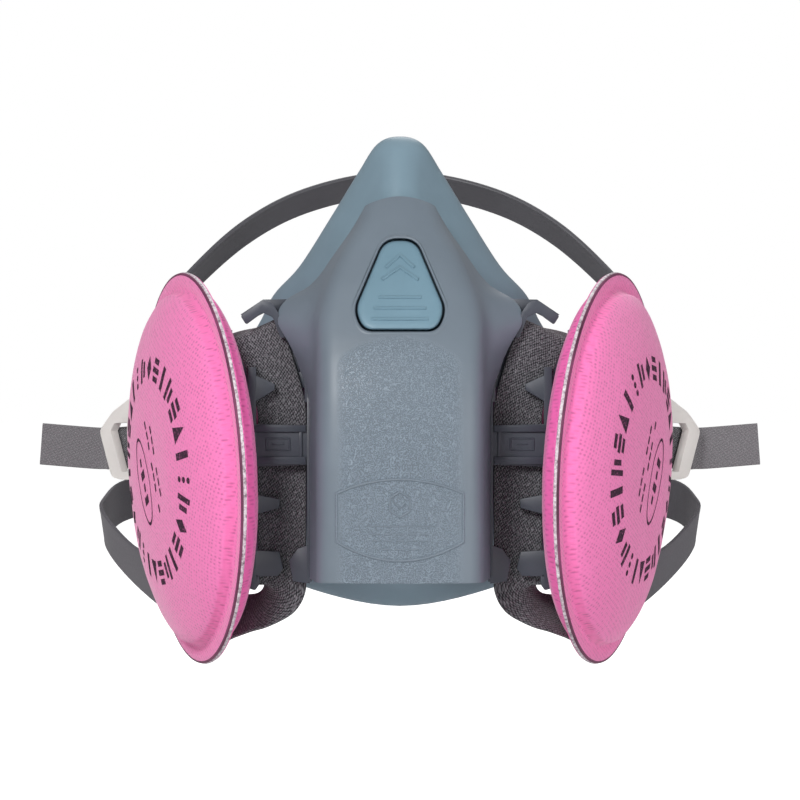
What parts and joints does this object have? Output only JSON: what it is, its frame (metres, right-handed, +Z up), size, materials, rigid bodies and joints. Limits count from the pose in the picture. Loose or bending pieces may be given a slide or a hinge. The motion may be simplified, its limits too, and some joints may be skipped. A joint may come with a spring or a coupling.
{
  "type": "half-face respirator",
  "caption": "Half-face respirator with silicone face seal, rigid front cover, two bayonet particulate filter discs, head cradle and clasped neck strap.",
  "frame": {"origin": "centre of the face opening, level with the wearer's mouth, where the wearer's face holds the mask", "axes": "+X to the right of someone looking at the front, front towards -Y, +Y towards the wearer, +Z up"},
  "size_m": [0.2186, 0.2342, 0.1412],
  "materials": {
    "seal_silicone": "satin moulded silicone, blue-grey",
    "cover_plastic": "fine-grained moulded plastic, grey-blue",
    "guide_plastic": "fine-grained moulded plastic, dark grey",
    "port_plastic": "smooth moulded plastic, dark grey",
    "valve_silicone": "thin translucent silicone",
    "gasket_rubber": "soft black rubber",
    "filter_media": "non-woven filter fabric, pink, with fine dimpled rows",
    "spacer_plastic": "off-white moulded plastic",
    "connector_plastic": "moulded plastic, magenta",
    "webbing": "woven elastic webbing, dark grey",
    "band_plastic": "satin moulded plastic, dark grey",
    "buckle_plastic": "translucent off-white moulded plastic",
    "clasp_plastic": "satin moulded plastic, near black"
  },
  "bodies": {
    "root": {"face_seal": "seal_silicone", "front_cover": "cover_plastic", "valve_seat": "port_plastic", "port_left": "port_plastic", "port_clamp_ring_left": "port_plastic", "port_gasket_left": "gasket_rubber", "strap_guide_left": "guide_plastic", "side_webbing_left": "webbing", "port_right": "port_plastic", "port_clamp_ring_right": "port_plastic", "port_gasket_right": "gasket_rubber", "strap_guide_right": "guide_plastic", "side_webbing_right": "webbing"},
    "exhalation_flap": {"exhalation_flap": "valve_silicone"},
    "head_harness": {"crown_band": "band_plastic", "upper_strap_left": "webbing", "buckle_left": "buckle_plastic", "cradle_pin_left": "buckle_plastic", "upper_strap_right": "webbing", "buckle_right": "buckle_plastic", "cradle_pin_right": "buckle_plastic"},
    "rear_band": {"rear_band": "band_plastic"},
    "neck_harness": {"clasp_loop": "clasp_plastic", "neck_strap_left": "webbing", "neck_strap_right": "webbing"},
    "clasp_hook": {"clasp_hook": "clasp_plastic"},
    "inhalation_flap_left": {"inhalation_flap_left": "valve_silicone"},
    "filter_left": {"filter_front_pad_left": "filter_media", "filter_back_pad_left": "filter_media", "filter_spacer_left": "spacer_plastic", "filter_connector_left": "connector_plastic"},
    "strap_tail_left": {"strap_tail_left": "webbing"},
    "inhalation_flap_right": {"inhalation_flap_right": "valve_silicone"},
    "filter_right": {"filter_front_pad_right": "filter_media", "filter_back_pad_right": "filter_media", "filter_spacer_right": "spacer_plastic", "filter_connector_right": "connector_plastic"},
    "strap_tail_right": {"strap_tail_right": "webbing"}
  },
  "joints": [
    {"name": "filter_left_twist", "type": "hinge", "parent": "root", "child": "filter_left", "pos_m": [-0.055, -0.002, -0.018], "axis": [-0.9392, -0.3397, -0.05], "range_deg": [0, 45]},
    {"name": "filter_right_twist", "type": "hinge", "parent": "root", "child": "filter_right", "pos_m": [0.055, -0.002, -0.018], "axis": [0.9392, -0.3397, -0.05], "range_deg": [0, 45]},
    {"name": "exhalation_flap_lift", "type": "slide", "parent": "root", "child": "exhalation_flap", "axis": [0, -1, 0], "range_m": [0, 0.002], "stiffness_N_per_m": 20},
    {"name": "inhalation_flap_left_lift", "type": "slide", "parent": "root", "child": "inhalation_flap_left", "axis": [0.9392, 0.3397, 0.05], "range_m": [0, 0.0015], "stiffness_N_per_m": 20},
    {"name": "inhalation_flap_right_lift", "type": "slide", "parent": "root", "child": "inhalation_flap_right", "axis": [-0.9392, 0.3397, 0.05], "range_m": [0, 0.0015], "stiffness_N_per_m": 20},
    {"name": "head_harness_swing", "type": "hinge", "parent": "root", "child": "head_harness", "pos_m": [0, -0.0145, 0.0151], "axis": [1, 0, 0], "range_deg": [-2, 18]},
    {"name": "rear_band_spread", "type": "hinge", "parent": "head_harness", "child": "rear_band", "pos_m": [0, 0.0925, 0.0022], "axis": [1, 0, 0], "range_deg": [-30, 15]},
    {"name": "neck_harness_swing", "type": "hinge", "parent": "root", "child": "neck_harness", "pos_m": [0, -0.0175, -0.0467], "axis": [1, 0, 0], "range_deg": [-18, 2]},
    {"name": "clasp_hook_open", "type": "hinge", "parent": "neck_harness", "child": "clasp_hook", "pos_m": [-0.0185, 0.1834, -0.027], "axis": [0, 0, 1], "range_deg": [0, 60]},
    {"name": "strap_tail_left_swing", "type": "hinge", "parent": "head_harness", "child": "strap_tail_left", "pos_m": [-0.08772, 0.11036, -0.0147], "axis": [0, 0, -1], "range_deg": [-15, 20]},
    {"name": "strap_tail_right_swing", "type": "hinge", "parent": "head_harness", "child": "strap_tail_right", "pos_m": [0.08772, 0.11036, -0.0147], "axis": [0, 0, 1], "range_deg": [-15, 20]}
  ]
}
